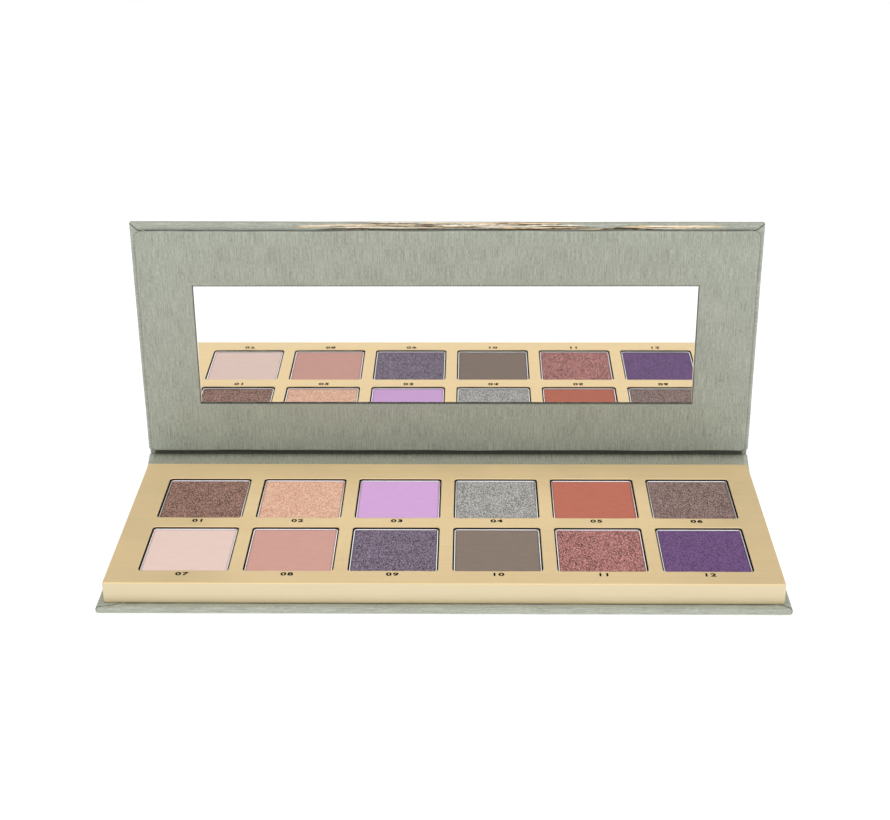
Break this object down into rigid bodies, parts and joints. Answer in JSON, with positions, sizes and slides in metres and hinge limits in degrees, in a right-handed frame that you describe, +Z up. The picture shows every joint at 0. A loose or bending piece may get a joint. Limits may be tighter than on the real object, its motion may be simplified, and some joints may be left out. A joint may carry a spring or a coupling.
{
  "type": "eyeshadow palette",
  "caption": "Book-style eyeshadow palette: a paper-covered board case with two folds, a gold tray of square pressed-powder pans, and a mirror panel inside the lid.",
  "frame": {"origin": "centre of the base's underside, where it rests on the table", "axes": "+X to the user's right, -Y towards the user, +Z up"},
  "size_m": [0.194, 0.0906, 0.0848],
  "materials": {
    "greyboard": "matte",
    "cover_paper": "laid linen texture, matte",
    "liner_paper": "laid linen texture, matte",
    "glue_sheet": "satin",
    "black_card": "matte",
    "foil_paper": "satin metallic gold",
    "magnet": "plated",
    "tinplate": "bright",
    "mirror": "silvered",
    "powder_01": "pressed powder, shimmer",
    "powder_02": "pressed powder, shimmer",
    "powder_03": "pressed powder, matte",
    "powder_04": "pressed powder, shimmer",
    "powder_05": "pressed powder, matte",
    "powder_06": "pressed powder, shimmer",
    "powder_07": "pressed powder, matte",
    "powder_08": "pressed powder, matte",
    "powder_09": "pressed powder, shimmer",
    "powder_10": "pressed powder, matte",
    "powder_11": "pressed powder, shimmer",
    "powder_12": "pressed powder, satin"
  },
  "bodies": {
    "base": {"base_board": "greyboard", "base_cover_paper": "cover_paper", "base_fold_paper": "cover_paper", "tray_glue_sheet": "glue_sheet", "tray_floor_card": "greyboard", "tray_walls": "greyboard", "tray_top_card": "black_card", "tray_foil_paper": "foil_paper", "pan_carrier": "black_card", "pan_glue_dots": "glue_sheet", "tray_magnets": "magnet", "pan_01": "tinplate", "pan_02": "tinplate", "pan_03": "tinplate", "pan_04": "tinplate", "pan_05": "tinplate", "pan_06": "tinplate", "pan_07": "tinplate", "pan_08": "tinplate", "pan_09": "tinplate", "pan_10": "tinplate", "pan_11": "tinplate", "pan_12": "tinplate", "powder_01": "powder_01", "powder_02": "powder_02", "powder_03": "powder_03", "powder_04": "powder_04", "powder_05": "powder_05", "powder_06": "powder_06", "powder_07": "powder_07", "powder_08": "powder_08", "powder_09": "powder_09", "powder_10": "powder_10", "powder_11": "powder_11", "powder_12": "powder_12"},
    "spine": {"spine_board": "greyboard", "spine_cover_paper": "cover_paper", "spine_liner_paper": "liner_paper"},
    "lid": {"lid_board": "greyboard", "lid_cover_paper": "cover_paper", "lid_fold_paper": "cover_paper", "panel_glue_sheet": "glue_sheet", "panel_board": "greyboard", "panel_paper": "liner_paper", "lid_magnets": "magnet", "mirror_glass": "mirror", "mirror_adhesive": "glue_sheet"}
  },
  "joints": [
    {"name": "spine_hinge", "type": "hinge", "parent": "base", "child": "spine", "pos_m": [0, 0.0414, 0.00025], "axis": [1, 0, 0], "range_deg": [-24, 66]},
    {"name": "lid_hinge", "type": "hinge", "parent": "spine", "child": "lid", "pos_m": [0, 0.052, 0.00497], "axis": [1, 0, 0], "range_deg": [-66.5, 23.5]}
  ]
}
